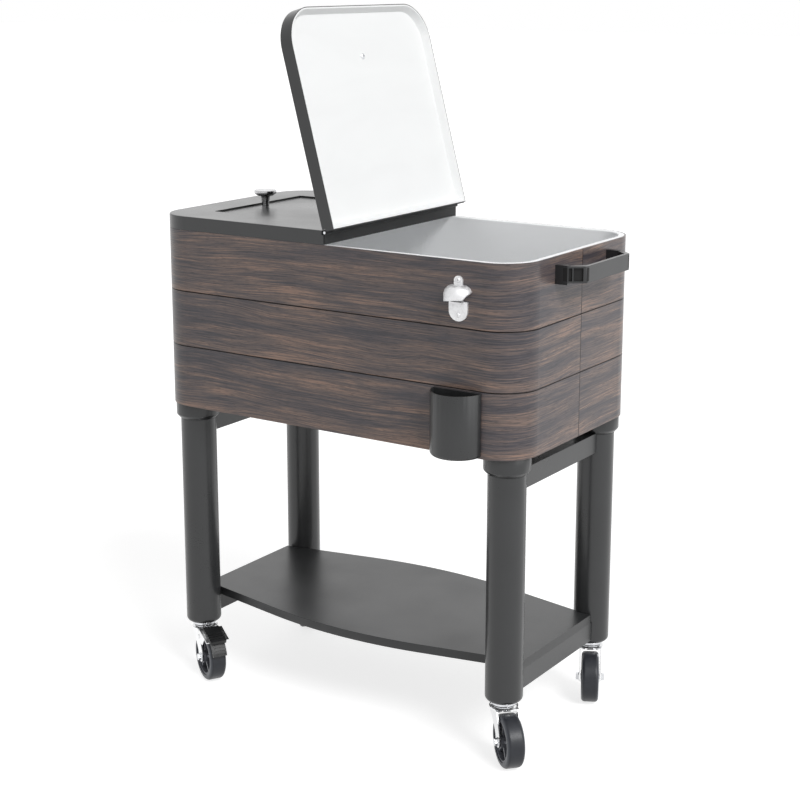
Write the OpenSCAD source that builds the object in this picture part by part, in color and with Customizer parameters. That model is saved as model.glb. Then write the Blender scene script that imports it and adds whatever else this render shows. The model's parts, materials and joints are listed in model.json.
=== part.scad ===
// Patio cooler cart: an insulated tub on four legs, with two lids hinged along the middle,
// a bow-fronted shelf, an opener, a cap catcher and four swivel casters.
// Millimetres, +Z up, ground at z = 0. The right lid is drawn open, as it rests on its hinge stop.

/* [Tub] */
// Length of the tub along X
body_l = 730; // [620:5:860]
// Width of the tub along Y
body_w = 410; // [350:5:500]
// Radius of the tub's upright corners
corner_r = 64; // [50:1:80]
// Height of the plank-look wall
wall_h = 313; // [260:1:380]
// Height of the wall's bottom edge above the ground
body_z = 524; // [460:1:620]
// Thickness of the plank-look shells
shell_t = 2.5; // [1.5:0.1:4]
// Height of the lower groove above the wall's bottom edge
groove_low = 108.4; // [90:0.1:125]
// Height of the upper groove above the wall's bottom edge
groove_high = 205.8; // [190:0.1:225]
// Width of a groove between planks
groove_w = 2.6; // [1:0.1:4]
// Depth of a groove between planks
groove_d = 1.3; // [0.5:0.1:1.4]
// Gap between the front and back shells at each end
seam_gap = 0.8; // [0.2:0.1:2]

/* [Tank] */
// Distance from the tub's outside to the tank's inside wall
tank_inset = 13; // [10:0.5:25]
// Thickness of the tank liner
liner_t = 2; // [1.2:0.1:3]
// Thickness of the rim lip
rim_t = 2.5; // [1.5:0.1:4]
// Radius of the rim's inner edge
rim_r = 2; // [0.5:0.1:2.4]
// Radius between the tank's floor and walls
tank_floor_r = 16; // [6:1:30]
// Thickness of the insulation under the tank
floor_foam = 24; // [15:1:40]
// Thickness of the bottom pan's sheet
pan_t = 1.2; // [0.8:0.1:2]
// Height of the bottom pan's turned-up edge
pan_lip = 12; // [6:1:20]

/* [Drain] */
// Distance of the drain from the tub's right end
drain_end = 103; // [85:1:200]
// Bore of the drain tube
drain_bore_d = 16; // [10:1:20]
// Wall of the drain tube
drain_wall = 2.8; // [2:0.1:4]
// Length of the drain tube below the bottom pan
drain_drop = 26; // [22:1:40]
// Diameter of the drain's flange
drain_flange_d = 38; // [32:1:50]
// Height of the drain cap
drain_cap_h = 15; // [12:1:17]

/* [Lids] */
// Height of a lid's skirt
lid_h = 23.6; // [20:0.1:30]
// Gap between a closed lid and the rim
lid_gap = 0.4; // [0.2:0.1:1]
// Thickness of a lid's sheet
lid_t = 1.2; // [0.8:0.1:2]
// Radius of a lid's upper edge
lid_edge_r = 2; // [0.5:0.1:3]
// Depth of the recess in a lid's top
recess_d = 3; // [1:0.1:4]
// Width of the recess along Y
recess_w = 253; // [180:1:290]
// Distance from the lid's free end to the recess
recess_end = 69; // [50:1:90]
// Distance from the hinge line to the recess
recess_start = 40; // [20:1:80]
// Radius of the recess's corners
recess_r = 5; // [2:0.5:12]
// Depth of the dish in the lid's white liner
dish_d = 11.5; // [6:0.1:12]
// Width of the flat band round the dish
dish_band = 2.6; // [2:0.1:6]
// Width of the dish's sloping side
dish_slope = 7; // [4:0.1:14]
// Thickness of the lid liner
lid_liner_t = 1.5; // [1:0.1:3]
// Opening angle of the lids
lid_open = 105; // [80:1:110]
// Distance of a knob from its lid's free end
knob_end = 85; // [80:1:160]
// Diameter of a knob's disc
knob_d = 40; // [30:1:48]
// Height of a knob's disc
knob_disc_h = 10; // [8:0.5:14]
// Height of a knob's stem
knob_stem_h = 18.5; // [10:0.5:24]
// Diameter of a knob's stem at its foot
knob_stem_d = 12.6; // [10:0.2:16]
// Diameter of a knob's stem under the disc
knob_neck_d = 18; // [16:0.5:24]

/* [Hinge] */
// Diameter of the hinge pin
pin_d = 4.5; // [3:0.1:5]
// Diameter of a hinge knuckle
knuckle_d = 7; // [6.4:0.1:8]
// Number of knuckles along the hinge, an odd number
knuckle_count = 7; // [3:2:15]
// Gap between neighbouring knuckles
knuckle_gap = 0.4; // [0.3:0.1:1]
// Thickness of a hinge leaf
leaf_t = 1.2; // [0.8:0.1:1.6]
// Height of a hinge leaf
leaf_h = 15; // [10:0.5:18]
// Gap between the two closed leaves
leaf_gap = 0.8; // [0.6:0.1:2]
// Radial play between a turning knuckle and the pin
pin_play = 0.05; // [0.02:0.01:0.1]

/* [Legs and rails] */
// Diameter of a leg tube
leg_d = 63; // [50:1:70]
// Wall of a leg tube
leg_wall = 1.5; // [1:0.1:3]
// Radius of a leg's lower edge
leg_edge_r = 8; // [3:0.5:12]
// Distance from the tub's end to the leg axis
leg_inset_x = 45.5; // [44:0.5:70]
// Distance from the tub's front or back to the leg axis
leg_inset_y = 50; // [44:0.5:70]
// Diameter of a leg collar
collar_d = 77.4; // [74:0.2:86]
// Height of a leg collar
collar_h = 31.5; // [24:0.5:40]
// Height of the cone under a leg collar
collar_cone = 7; // [3:0.5:12]
// Thickness of the collar's top
collar_top = 4; // [3:0.5:6]
// Diameter of the bolt that holds a leg to the tub
leg_bolt_d = 8; // [6:1:10]
// Width of a rail along X
rail_w = 25; // [20:1:30]
// Height of a rail
rail_h = 34.5; // [25:0.5:40]
// Wall of a rail
rail_wall = 1.5; // [1:0.1:3]
// Distance from a rail's outer face to the tub's end
rail_inset = 30; // [20:1:34]
// Distance from the upper rail to the tub
rail_drop = 29; // [10:1:50]

/* [Shelf] */
// Height of the shelf's top above the ground
shelf_z = 163.3; // [150:0.1:260]
// Height of the shelf's edge
shelf_h = 15; // [10:0.5:25]
// Thickness of the shelf's sheet
shelf_t = 1.5; // [1:0.1:3]
// Distance along Y from a leg's axis to the shelf's corner beside it
shelf_inset = 34; // [30:1:60]
// Distance that the shelf's middle bows out beyond its ends
shelf_bow = 51.5; // [30:0.5:80]
// Slope of the shelf's slanted edges, Y per X
shelf_slope = 0.2; // [0.17:0.01:0.3]
// Gap between the shelf and a leg
shelf_leg_gap = 1.5; // [0.5:0.1:4]

/* [Handles] */
// Distance the handle stands out from the tub
handle_reach = 47.4; // [35:0.1:60]
// Distance between the handle's feet, outside to outside
handle_foot_w = 186; // [140:1:220]
// Length of the handle's outer face
handle_bar_w = 149; // [100:1:180]
// Thickness of the handle's bar
handle_bar_t = 6; // [5:0.5:12]
// Thickness of the handle's arms
handle_arm_t = 10; // [8:0.5:14]
// Height of the handle's bar
handle_h = 27; // [20:0.5:35]
// Height of a handle's foot
foot_h = 30.7; // [24:0.1:40]
// Thickness of a handle's foot along X
foot_t = 22; // [10:0.5:26]
// Distance from the wall's top to the top of a foot
foot_drop = 13; // [8:0.5:40]
// Depth of the pocket in an arm's side
pocket_d = 4; // [2:0.5:6]

/* [Opener and catcher] */
// Distance of the opener from the tub's right end
opener_end = 107.3; // [95:0.1:200]
// Height of the opener's lowest point above the wall's bottom edge
opener_z = 217; // [210:1:235]
// Width of the opener's plate
opener_w = 34; // [28:1:44]
// Height of the opener
opener_h = 72; // [68:1:80]
// Thickness of the opener's plate
opener_t = 3; // [2:0.1:4]
// Radius of the opener's hood
hood_r = 24.5; // [22:0.5:30]
// Thickness of the opener's hood
hood_t = 2.6; // [2:0.1:4]
// Distance of the cap catcher's middle from the tub's right end
catcher_end = 109.5; // [109:0.5:200]
// Width of the cap catcher
catcher_w = 89; // [70:1:89]
// Distance the cap catcher stands out from the tub
catcher_d = 42; // [38:0.5:44]
// Height of the cap catcher
catcher_h = 105; // [90:1:107]
// Wall of the cap catcher
catcher_wall = 2; // [1.2:0.1:3]
// Radius of the cap catcher's bottom edge
catcher_edge_r = 7; // [3:0.5:12]
// Distance between the catcher's two keyholes
keyhole_pitch = 46; // [30:1:56]
// Distance the catcher lifts to come off its screws
catcher_lift = 10; // [8:0.5:12]
// Gap between the catcher and the wall
catcher_gap = 0.3; // [0.2:0.1:1]

/* [Casters] */
// Diameter of a wheel
wheel_d = 89; // [70:1:90]
// Width of a wheel
wheel_w = 30; // [24:1:32]
// Distance from the swivel axis to the axle
trail = 30; // [20:1:34]
// Height of a caster from the ground to the leg
caster_h = 105; // [104:1:120]
// Thickness of the fork's sheet
fork_t = 2.5; // [2:0.1:4]
// Gap between a wheel and its fork
fork_gap = 2; // [1:0.1:4]
// Radius of the fork's crown
crown_r = 24; // [21:1:26]
// Diameter of an axle
axle_d = 10; // [8:0.5:14]
// Radial play of each wheel and each swivel
turn_play = 0.05; // [0.02:0.01:0.1]
// Diameter of a caster's stem
stem_d = 10; // [8:0.5:12]
// Length of a caster's stem inside the leg
stem_len = 28; // [20:1:30]
// Radial thickness of a tyre
tyre_t = 10; // [6:0.5:14]
// Number of spokes in a wheel
spoke_count = 5; // [4:1:8]
// Direction of the front left caster's trail
turn_front_left = -30; // [-60:1:60]
// Direction of the front right caster's trail
turn_front_right = -42; // [-60:1:60]
// Direction of the back left caster's trail
turn_back_left = -48; // [-60:1:20]
// Direction of the back right caster's trail
turn_back_right = -62; // [-80:1:20]
// Angle that a brake pedal travels
brake_travel = 6; // [3:0.5:8]
// Width of a brake pedal
pedal_w = 30; // [24:1:36]

/* [Hidden] */
$fn = 48;

wood = "#6a5a54";
charcoal = "#4e4f51";
black = "#1c1d1f";
white = "#f2f2f0";
liner_grey = "#cfd1d2";
chrome = "#dfe1e3";
nickel = "#a9aaab";
steel = "#b4b7ba";
dark_grey = "#3e4046";
foam_cream = "#e9dfb4";

// Overlap of cutters past the faces that they cut
past = 1;
// Clearance between pieces that are fixed face to face
slip = 0.1;

// The frame's origin lies below the middle of the whole cart, which the catcher shifts forward
mid_y = catcher_d / 2;

body_top = body_z + wall_h;
drain_x = body_l / 2 - drain_end;
knob_x = body_l / 2 - knob_end;
opener_x = body_l / 2 - opener_end;
catcher_x = body_l / 2 - catcher_end;
lid_bottom = body_top + lid_gap;
lid_top = lid_bottom + lid_h;
hinge_z = lid_top - knuckle_d / 2;
lid_x0 = leaf_t + leaf_gap / 2;
notch_x = 1.5 * knuckle_d / 2;
notch_z = hinge_z - knuckle_d / 2 - knuckle_gap;

leg_x = body_l / 2 - leg_inset_x;
leg_y = body_w / 2 - leg_inset_y;
leg_r = leg_d / 2;
leg_top = body_z - collar_top - slip;
// Signs of X and Y for the four corners, and their trail directions
CORNERS = [[-1, -1], [1, -1], [-1, 1], [1, 1]];

tank_floor_z = body_z + pan_t + floor_foam + liner_t;
foam_inset = shell_t + pan_t + slip;
drain_r = drain_bore_d / 2 + drain_wall;

rail_x = body_l / 2 - rail_inset - rail_w / 2;
upper_rail_z = body_z - rail_drop - rail_h;
lower_rail_z = shelf_z - shelf_h - rail_h;
shelf_half = body_l / 2 - rail_inset;
shelf_end_w = 2 * (leg_y - shelf_inset);
shelf_mid_w = shelf_end_w + 2 * shelf_bow;

opener_base_z = body_z + opener_z;
opener_screw_z = [opener_base_z + 10, opener_base_z + opener_h - 6.5];
catcher_z = body_z + 0.5;
keyhole_z = catcher_z + catcher_h - 22;
handle_z = body_top - foot_drop - foot_h / 2;
handle_bolt_y = handle_foot_w / 2 - handle_arm_t / 2;

wheel_r = wheel_d / 2;
hub_r = wheel_r - tyre_t;
crown_z = wheel_d + 3;
fork_half = wheel_w / 2 + fork_gap;
race_z = crown_z + fork_t;

// Brake: the pivot and the start of the lever's slope, as [along the trail, height]
pivot = [29, crown_z - 8];
pivot_r = 2;
slope_start = [32, crown_z + 6];
lever_t = 2;
lever_l = 1.33 * trail;
// Gap between the shoe and the tread when the pedal is up: what the travel takes up, and a little more
brake_gap = 0.66 * brake_travel + 0.5;

// A rectangle with rounded corners, centred
module round_rect(l, w, r) {
    square([l, w - 2 * r], center = true);
    square([l - 2 * r, w], center = true);
    for (c = CORNERS)
        translate([c[0] * (l / 2 - r), c[1] * (w / 2 - r)]) circle(r);
}

// The tub's outline, drawn in by an inset
module outline(inset = 0) {
    round_rect(body_l - 2 * inset, body_w - 2 * inset, corner_r - inset);
}

// Sweeps a profile round the tub's outline: the profile's x points outwards from it, and its y is height
module ring(inset = 0) {
    r = corner_r - inset;
    half_l = body_l / 2 - corner_r;
    half_w = body_w / 2 - corner_r;
    for (i = [0 : 3])
        translate([(i == 0 || i == 3 ? 1 : -1) * half_l, (i < 2 ? 1 : -1) * half_w, 0])
            rotate([0, 0, 90 * i]) rotate_extrude(angle = 90) translate([r, 0]) children();
    for (side = [0, 180]) {
        rotate([0, 0, side]) translate([half_l + r, half_w, 0])
            rotate([90, 0, 0]) linear_extrude(2 * half_w) children();
        rotate([0, 0, side + 90]) translate([half_w + r, half_l, 0])
            rotate([90, 0, 0]) linear_extrude(2 * half_l) children();
    }
}

// Puts a piece drawn about the tub's middle into the frame
module cart() {
    translate([0, mid_y, 0]) children();
}

// Both ends of the cart, the second mirrored
module both_ends() {
    children();
    mirror([1, 0, 0]) children();
}

// A cylinder along Y, out of the tub's front, from the wall plane inwards and outwards
module front_rod(x, z, r, inward, outward) {
    translate([x, -body_w / 2 + inward, z]) rotate([90, 0, 0]) cylinder(h = inward + outward, r = r);
}

// A cylinder along X, out of the tub's right end
module end_rod(y, z, r, inward, outward) {
    translate([body_l / 2 - inward, y, z]) rotate([0, 90, 0]) cylinder(h = inward + outward, r = r);
}

// Every fastener that goes through the tub's wall, grown by a clearance
module wall_fasteners(clear = 0) {
    for (z = opener_screw_z) front_rod(opener_x, z, 2.2 + clear, shell_t + 5 + clear, opener_t);
    for (s = [-1, 1])
        front_rod(catcher_x + s * keyhole_pitch / 2, keyhole_z, 2.4 + clear, shell_t + 5 + clear, catcher_gap);
    both_ends() for (s = [-1, 1]) {
        end_rod(s * handle_bolt_y, handle_z, 3 + clear, shell_t + 1 + clear, foot_t / 2);
        end_rod(s * handle_bolt_y, handle_z, 5 + clear, shell_t + 4 + clear, -shell_t);
    }
}

// One plank-look shell; side -1 is the front and 1 is the back
module wall_shell(side) {
    difference() {
        intersection() {
            translate([0, 0, body_z]) linear_extrude(wall_h) difference() {
                outline();
                outline(shell_t);
            }
            translate([-body_l, side < 0 ? -body_w : seam_gap / 2, body_z - past])
                cube([2 * body_l, body_w - seam_gap / 2, wall_h + 2 * past]);
        }
        for (z = [groove_low, groove_high]) translate([0, 0, body_z + z])
            ring() polygon([[past, -groove_w], [0, -groove_w / 2], [-groove_d, 0], [0, groove_w / 2], [past, groove_w]]);
        wall_fasteners(slip);
    }
}

module front_shell() { color(wood) cart() wall_shell(-1); }

module back_shell() { color(wood) cart() wall_shell(1); }

module bottom_pan() {
    color(black) cart() difference() {
        translate([0, 0, body_z]) linear_extrude(pan_lip) outline(shell_t + slip);
        translate([0, 0, body_z + pan_t]) linear_extrude(pan_lip) outline(shell_t + slip + pan_t);
        for (c = CORNERS) translate([c[0] * leg_x, c[1] * leg_y, body_z - past])
            cylinder(h = 3 * past, r = leg_bolt_d / 2 + slip);
        translate([drain_x, 0, body_z - past]) cylinder(h = 3 * past, r = drain_r + slip);
    }
}

module tank_liner() {
    wall = tank_inset - liner_t;
    color(liner_grey) cart() difference() {
        union() {
            translate([0, 0, body_top - rim_t]) linear_extrude(rim_t) outline(shell_t + slip);
            translate([0, 0, tank_floor_z - liner_t]) linear_extrude(body_top - tank_floor_z) outline(wall);
        }
        translate([0, 0, tank_floor_z + tank_floor_r]) linear_extrude(wall_h) outline(tank_inset);
        translate([0, 0, tank_floor_z]) linear_extrude(wall_h) outline(tank_inset + tank_floor_r);
        translate([0, 0, tank_floor_z + tank_floor_r]) ring(tank_inset) intersection() {
            translate([-tank_floor_r, 0]) circle(tank_floor_r);
            translate([-tank_floor_r, -tank_floor_r]) square(tank_floor_r);
        }
        translate([0, 0, body_top]) ring(tank_inset) difference() {
            translate([-past, -rim_r]) square([rim_r + past, rim_r + past]);
            translate([rim_r, -rim_r]) circle(rim_r);
        }
        translate([drain_x, 0, tank_floor_z - liner_t - past]) cylinder(h = liner_t + 2 * past, r = drain_r + slip);
    }
}

module insulation() {
    z0 = body_z + pan_t;
    color(foam_cream) cart() difference() {
        translate([0, 0, z0]) linear_extrude(body_top - rim_t - z0) outline(foam_inset);
        translate([0, 0, tank_floor_z - liner_t]) linear_extrude(wall_h) outline(tank_inset - liner_t);
        wall_fasteners(2 * slip);
        for (c = CORNERS) translate([c[0] * leg_x, c[1] * leg_y, z0 - past])
            cylinder(h = 0.85 * leg_bolt_d + past, r = leg_bolt_d);
        translate([drain_x, 0, z0 - past]) cylinder(h = floor_foam + 2 * past, r = drain_r + slip);
    }
}

// The drain's flanged tube and the nut that holds it under the pan
module drain_fitting() {
    color(black) cart() translate([drain_x, 0, 0]) {
        difference() {
            union() {
                translate([0, 0, tank_floor_z]) cylinder(h = 2, r = drain_flange_d / 2);
                translate([0, 0, body_z - drain_drop]) cylinder(h = tank_floor_z + past - body_z + drain_drop, r = drain_r);
            }
            translate([0, 0, body_z - drain_drop - past]) cylinder(h = wall_h, r = drain_bore_d / 2);
        }
        difference() {
            translate([0, 0, body_z - 7]) cylinder(h = 7, r = drain_r + 6, $fn = 6);
            translate([0, 0, body_z - 7 - past]) cylinder(h = 7 + 2 * past, r = drain_r + slip);
        }
    }
}

module drain_cap() {
    play = 0.3;
    z0 = body_z - drain_drop - play - 2;
    color(black) cart() translate([drain_x, 0, z0]) difference() {
        union() {
            cylinder(h = drain_cap_h, r = drain_r + play + 2);
            for (a = [0 : 30 : 330]) rotate([0, 0, a]) translate([drain_r + play + 1.6, -1.25, 1])
                cube([1.6, 2.5, drain_cap_h - 2]);
        }
        translate([0, 0, 2]) cylinder(h = drain_cap_h, r = drain_r + play);
    }
}

// A moulded end handle on the right end: two feet, two sloping arms with pockets, and a bar
module end_handle() {
    x0 = body_l / 2;
    x1 = x0 + handle_reach;
    arm_x = x0 + foot_t;
    foot_y = handle_foot_w / 2;
    bar_y = handle_bar_w / 2;
    corner = handle_bar_t;
    slope = (foot_y - bar_y) / (x1 - arm_x);
    angle = atan(slope);
    normal = [sin(angle), cos(angle)];
    // Centre of the round corner between the bar's and the arm's outer faces, and where the arm's face leaves it
    centre = [x1 - corner, bar_y + slope * corner - corner / cos(angle)];
    leave = centre + corner * normal;
    bar_z = handle_z + (foot_h - handle_h) / 2 - 0.7;
    arm_l = (centre[0] - arm_x) / cos(angle);
    difference() {
        union() {
            translate([0, 0, bar_z - handle_h / 2]) linear_extrude(handle_h) {
                translate([x1 - handle_bar_t, -centre[1]]) square([handle_bar_t, 2 * centre[1]]);
                for (s = [-1, 1]) scale_y(s) {
                    translate(centre) intersection() {
                        circle(corner);
                        translate([0, -corner]) square([corner, 2 * corner]);
                    }
                    polygon([[arm_x - 4, foot_y], [arm_x, foot_y], leave, centre,
                        [centre[0], centre[1] - (handle_arm_t - corner) / cos(angle)],
                        [arm_x, foot_y - handle_arm_t], [arm_x - 4, foot_y - handle_arm_t]]);
                }
            }
            for (s = [-1, 1]) scale_y(s)
                translate([x0, foot_y - handle_arm_t, handle_z - foot_h / 2]) cube([foot_t, handle_arm_t, foot_h]);
        }
        for (s = [-1, 1]) scale_y(s) translate([arm_x, foot_y, bar_z]) rotate([0, 0, -angle])
            for (cell = [[1.5, 6], [9.5, arm_l - 8.5]])
                translate([cell[0], -pocket_d, -handle_h / 2 + 3]) cube([cell[1], pocket_d + 5, handle_h - 6]);
        for (s = [-1, 1]) end_rod(s * handle_bolt_y, handle_z, 3 + slip, past, foot_t / 2 + slip);
    }
}

// Mirrors its children across the middle plane where the sign is negative
module scale_y(sign) {
    mirror([0, sign < 0 ? 1 : 0, 0]) children();
}

module handle_left() { color(charcoal) cart() mirror([1, 0, 0]) end_handle(); }

module handle_right() { color(charcoal) cart() end_handle(); }

// Bolts for the handles' feet, and screws for the opener and the catcher
module wall_screws() {
    plate = catcher_gap + catcher_wall;
    color(steel) cart() {
        both_ends() for (s = [-1, 1]) {
            end_rod(s * handle_bolt_y, handle_z, 3, shell_t + 1, foot_t / 2);
            end_rod(s * handle_bolt_y, handle_z, 5, shell_t + 4, -shell_t - slip / 2);
        }
        for (z = opener_screw_z) {
            front_rod(opener_x, z, 2.2, shell_t + 5, opener_t + 0.5);
            front_head(opener_x, z, 4, opener_t + slip / 2, 2);
        }
        for (s = [-1, 1]) {
            x = catcher_x + s * keyhole_pitch / 2;
            front_rod(x, keyhole_z, 2.4, shell_t + 5, plate + 0.6);
            front_head(x, keyhole_z, 4.6, plate + 0.4, 2.4);
        }
    }
}

// A cast opener: a plate with a tab and a tooth, under a rounded hood that is notched at its right
module bottle_opener() {
    tab_r = 7.9;
    plate_r = opener_w / 2;
    lip = opener_h / 2;
    plate_top = lip - 4.3;
    tip = lip + 13;
    hood_top = opener_h - 14.5;
    color(chrome) cart() translate([opener_x, -body_w / 2, opener_base_z]) difference() {
        union() {
            rotate([90, 0, 0]) linear_extrude(opener_t) {
                translate([0, plate_r]) circle(plate_r);
                translate([-plate_r, plate_r]) square([opener_w, plate_top - plate_r]);
                translate([-tab_r, plate_top - past]) square([2 * tab_r, opener_h - tab_r - plate_top + past]);
                translate([0, opener_h - tab_r]) circle(tab_r);
            }
            difference() {
                rotate([0, 0, 180]) rotate_extrude(angle = 180) difference() {
                    hood_profile(hood_r, hood_top);
                    hood_profile(hood_r - hood_t, hood_top - hood_t);
                }
                rotate([90, 0, 0]) linear_extrude(3 * hood_r)
                    polygon([[-2 * hood_r, -past], [-2 * hood_r, lip - 6.5], [-hood_r, lip - 5], [0, lip],
                        [hood_r * 0.67, lip + 1], [hood_r, tip], [2 * hood_r, tip + 2], [2 * hood_r, -past]]);
            }
            // Tooth that goes under the cap's edge
            rotate([90, 0, 0]) linear_extrude(opener_t + 8)
                polygon([[-9, plate_top - 3], [11, plate_top - 3], [11, plate_top], [-9, plate_top]]);
        }
        for (z = opener_screw_z) translate([0, past, z - opener_base_z]) rotate([90, 0, 0])
            cylinder(h = opener_t + 2 * past, r = 2.2 + slip);
    }
}

// Half of the hood's section: an upright side that rounds over to a flat top
module hood_profile(r, high) {
    shoulder = r - 10;
    square([r, high - shoulder]);
    square([r - shoulder, high]);
    translate([r - shoulder, high - shoulder]) intersection() {
        circle(shoulder);
        square(shoulder);
    }
}

// A round screw head along +Z with a crossed recess in it
module cross_head(h, r) {
    difference() {
        union() {
            cylinder(h = h * 0.55, r = r);
            translate([0, 0, h * 0.55]) cylinder(h = h * 0.45, r1 = r, r2 = r * 0.72);
        }
        for (a = [0, 90]) rotate([0, 0, a]) translate([-r * 0.5, -r * 0.11, h * 0.45]) cube([r, r * 0.22, h]);
    }
}

// A screw head on the tub's front, at a distance from the wall
module front_head(x, z, r, out, h) {
    translate([x, -body_w / 2 - out, z]) rotate([90, 0, 0]) cross_head(h, r);
}

// A half-round bin with a flat back, hung on two keyholes
module cap_catcher() {
    r = (pow(catcher_w / 2, 2) + pow(catcher_d, 2)) / (2 * catcher_d);
    depth = catcher_d - catcher_gap;
    color(charcoal) cart() translate([catcher_x, -body_w / 2 - catcher_gap, catcher_z]) difference() {
        bin_solid(r, depth, 0, catcher_edge_r);
        translate([0, 0, catcher_wall]) intersection() {
            bin_solid(r, depth, catcher_wall, catcher_edge_r - catcher_wall);
            translate([-r, -2 * r - catcher_wall, 0]) cube([2 * r, 2 * r, 2 * catcher_h]);
        }
        for (s = [-1, 1]) translate([s * keyhole_pitch / 2, past, keyhole_z - catcher_z]) rotate([90, 0, 0]) {
            cylinder(h = catcher_wall + 2 * past, r = 2.4 + 3 * slip);
            translate([-2.4 - 3 * slip, -catcher_lift, 0]) cube([4.8 + 6 * slip, catcher_lift, catcher_wall + 2 * past]);
            translate([0, -catcher_lift, 0]) cylinder(h = catcher_wall + 2 * past, r = 5.2);
        }
    }
}

// The bin's outer or inner form, cut flat at the back
module bin_solid(r, depth, inset, edge_r) {
    r1 = r - inset;
    translate([0, -depth + r, 0]) intersection() {
        rotate_extrude() difference() {
            union() {
                translate([0, edge_r]) square([r1, 2 * catcher_h]);
                square([r1 - edge_r, edge_r]);
                intersection() {
                    translate([r1 - edge_r, edge_r]) circle(edge_r);
                    translate([r1 - edge_r, 0]) square(edge_r);
                }
            }
            translate([0, catcher_h]) square([2 * r, 2 * catcher_h]);
        }
        translate([-2 * r, -2 * r + depth - r, -past]) cube([4 * r, 2 * r, 2 * catcher_h]);
    }
}

// The right half of the tub's outline, from x0 to the free end
module half_outline(inset, x0) {
    intersection() {
        outline(inset);
        translate([x0, -body_w]) square([body_l, 2 * body_w]);
    }
}

// A closed lid's sheet on the right half
module lid_shell() {
    floor_z = lid_top - recess_d;
    x_end = body_l / 2 - recess_end;
    difference() {
        translate([0, 0, lid_bottom]) linear_extrude(lid_h) half_outline(0, lid_x0);
        difference() {
            translate([0, 0, lid_bottom - past]) linear_extrude(lid_h - lid_t + past) half_outline(lid_t, lid_x0 + lid_t);
            translate([0, 0, floor_z - lid_t]) linear_extrude(lid_h) recess_plan(lid_t);
        }
        translate([0, 0, floor_z]) linear_extrude(lid_h) recess_plan(0);
        translate([0, 0, lid_top]) ring() difference() {
            translate([-lid_edge_r, -lid_edge_r]) square(lid_edge_r + past);
            translate([-lid_edge_r, -lid_edge_r]) circle(lid_edge_r);
        }
        translate([-past, -body_w, notch_z]) cube([notch_x + past, 2 * body_w, lid_h]);
        translate([knob_x, 0, floor_z - 2 * lid_t]) cylinder(h = 4 * lid_t, r = 3 + slip);
    }
    // Turned-down edge of the top that closes the notch for the knuckles
    difference() {
        translate([0, 0, notch_z - lid_t]) linear_extrude(lid_top - notch_z + lid_t) intersection() {
            half_outline(lid_t, lid_x0);
            translate([0, -body_w]) square([notch_x + lid_t, 2 * body_w]);
        }
        translate([-past, -body_w, notch_z]) cube([notch_x + past, 2 * body_w, lid_h]);
        translate([lid_x0 + lid_t, -body_w, notch_z - 2 * lid_t]) cube([notch_x, 2 * body_w, lid_t]);
    }
}

// Plan of the recess in a lid's top, grown by a margin
module recess_plan(grow) {
    x0 = recess_start - grow;
    x1 = body_l / 2 - recess_end + grow;
    translate([(x0 + x1) / 2, 0]) round_rect(x1 - x0, recess_w + 2 * grow, recess_r + grow);
}

// A closed lid's white dished liner on the right half
module lid_liner() {
    inset = lid_t + slip;
    x0 = lid_x0 + inset;
    floor_z = lid_bottom + dish_d;
    difference() {
        translate([0, 0, lid_bottom]) linear_extrude(dish_d + lid_liner_t) half_outline(inset, x0);
        hull() {
            translate([0, 0, lid_bottom - past]) linear_extrude(past) half_outline(inset + dish_band, x0 + dish_band);
            translate([0, 0, floor_z - 0.01]) linear_extrude(0.01)
                half_outline(inset + dish_band + dish_slope, x0 + dish_band + dish_slope);
        }
        translate([knob_x, 0, lid_bottom]) cylinder(h = lid_h, r = 3 + slip);
    }
}

module lid_foam() {
    z0 = lid_bottom + dish_d + lid_liner_t;
    z1 = lid_top - recess_d - lid_t;
    difference() {
        translate([0, 0, z0]) linear_extrude(z1 - z0) half_outline(lid_t + 1, notch_x + lid_t + 1);
        translate([knob_x, 0, z0 - past]) cylinder(h = lid_h, r = 4);
    }
}

// A turned knob in the recess: a stem that widens upwards, and a disc with a wide chamfer below
module lid_knob() {
    edge = 1.2;
    chamfer = 0.4 * knob_disc_h;
    r = knob_d / 2;
    neck_r = knob_neck_d / 2;
    high = knob_stem_h + knob_disc_h;
    translate([knob_x, 0, lid_top - recess_d]) difference() {
        rotate_extrude() polygon([[0, 0], [knob_stem_d / 2, 0], [knob_stem_d / 2, 1.5], [neck_r - 1, knob_stem_h - 3],
            [neck_r, knob_stem_h], [r - 1.5 * chamfer, knob_stem_h], [r, knob_stem_h + chamfer],
            [r, high - edge], [r - edge, high], [0, high]]);
        translate([0, 0, -past]) cylinder(h = 12 + past, r = 2.5 + slip);
    }
}

// The screw that comes up through the liner into the knob
module knob_screw() {
    floor_z = lid_bottom + dish_d;
    translate([knob_x, 0, 0]) {
        translate([0, 0, floor_z - slip / 2]) mirror([0, 0, 1]) cross_head(2, 5);
        translate([0, 0, floor_z - 1]) cylinder(h = lid_top - recess_d - floor_z + 11, r = 2.5);
    }
}

// Turns a closed right half into its open rest position
module opened() {
    translate([0, 0, hinge_z]) rotate([0, -lid_open, 0]) translate([0, 0, -hinge_z]) children();
}

module left_lid_shell() { color(charcoal) cart() mirror([1, 0, 0]) lid_shell(); }

module left_lid_liner() { color(white) cart() mirror([1, 0, 0]) lid_liner(); }

module left_lid_foam() { color(foam_cream) cart() mirror([1, 0, 0]) lid_foam(); }

module left_lid_knob() { color(nickel) cart() mirror([1, 0, 0]) lid_knob(); }

module left_knob_screw() { color(steel) cart() mirror([1, 0, 0]) knob_screw(); }

module right_lid_shell() { color(charcoal) cart() opened() lid_shell(); }

module right_lid_liner() { color(white) cart() opened() lid_liner(); }

module right_lid_foam() { color(foam_cream) cart() opened() lid_foam(); }

module right_lid_knob() { color(nickel) cart() opened() lid_knob(); }

module right_knob_screw() { color(steel) cart() opened() knob_screw(); }

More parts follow.
